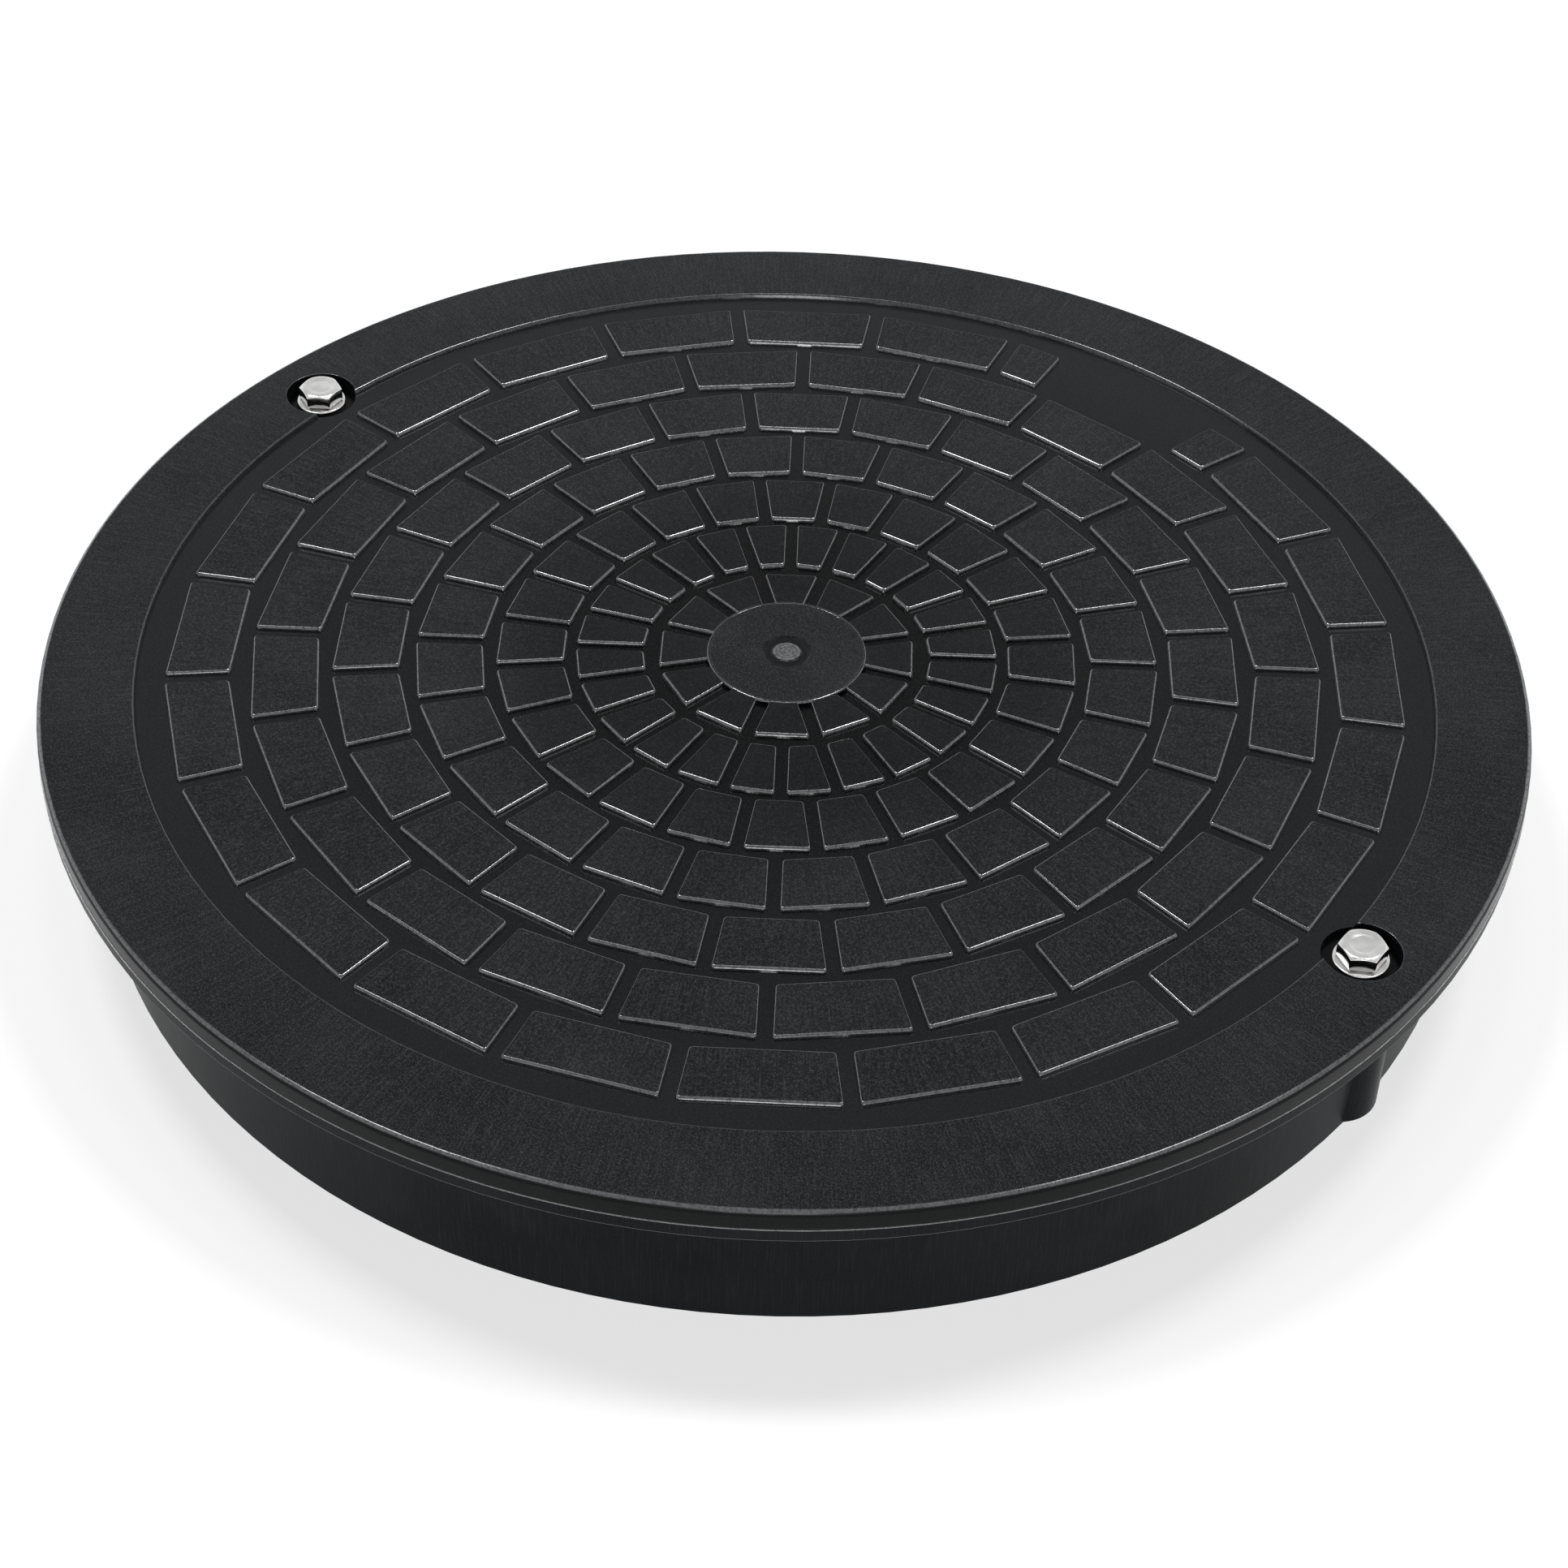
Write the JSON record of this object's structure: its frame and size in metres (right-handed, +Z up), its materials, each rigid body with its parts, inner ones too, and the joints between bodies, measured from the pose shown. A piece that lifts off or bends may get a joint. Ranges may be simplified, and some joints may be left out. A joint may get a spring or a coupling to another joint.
{
  "type": "manhole cover",
  "caption": "Round black plastic manhole cover with a raised brick grip pattern, bolted to a flanged frame that sits on a riser pipe",
  "frame": {"origin": "On the centre line of the round frame, at the lower edge of its skirt", "axes": "+Z points up, out of the ground; +X points at the right bolt; +Y points at the bare panel of the brick pattern"},
  "size_m": [0.47, 0.47, 0.0633],
  "materials": {
    "lid_plastic": "moulded, matt, with fine radial flow streaks",
    "frame_plastic": "moulded, matt",
    "bolt_zinc": "bright zinc plated",
    "washer_zinc": "bright zinc plated",
    "insert_brass": "turned"
  },
  "bodies": {
    "frame": {"frame": "frame_plastic", "insert_right": "insert_brass", "insert_left": "insert_brass"},
    "lid": {"lid": "lid_plastic"},
    "washer_right": {"washer_right": "washer_zinc"},
    "bolt_right": {"bolt_right": "bolt_zinc"},
    "washer_left": {"washer_left": "washer_zinc"},
    "bolt_left": {"bolt_left": "bolt_zinc"}
  },
  "joints": [
    {"name": "lid_lift", "type": "slide", "parent": "frame", "child": "lid", "axis": [0, 0, 1], "range_m": [0, 0.04]},
    {"name": "bolt_right_rise", "type": "slide", "parent": "lid", "child": "washer_right", "axis": [0, 0, 1], "range_m": [0, 0.026]},
    {"name": "bolt_right_turn", "type": "hinge", "parent": "washer_right", "child": "bolt_right", "pos_m": [0.21244, 0.00482, 0.058], "axis": [0, 0, 1], "range_deg": [0, 7470]},
    {"name": "bolt_left_rise", "type": "slide", "parent": "lid", "child": "washer_left", "axis": [0, 0, 1], "range_m": [0, 0.026]},
    {"name": "bolt_left_turn", "type": "hinge", "parent": "washer_left", "child": "bolt_left", "pos_m": [-0.21249, 0.00185, 0.058], "axis": [0, 0, 1], "range_deg": [0, 7470]}
  ],
  "couplings": [
    {"joint": "bolt_right_rise", "follows": "bolt_right_turn", "m_per_rad": 0.00019894},
    {"joint": "bolt_left_rise", "follows": "bolt_left_turn", "m_per_rad": 0.00019894}
  ]
}
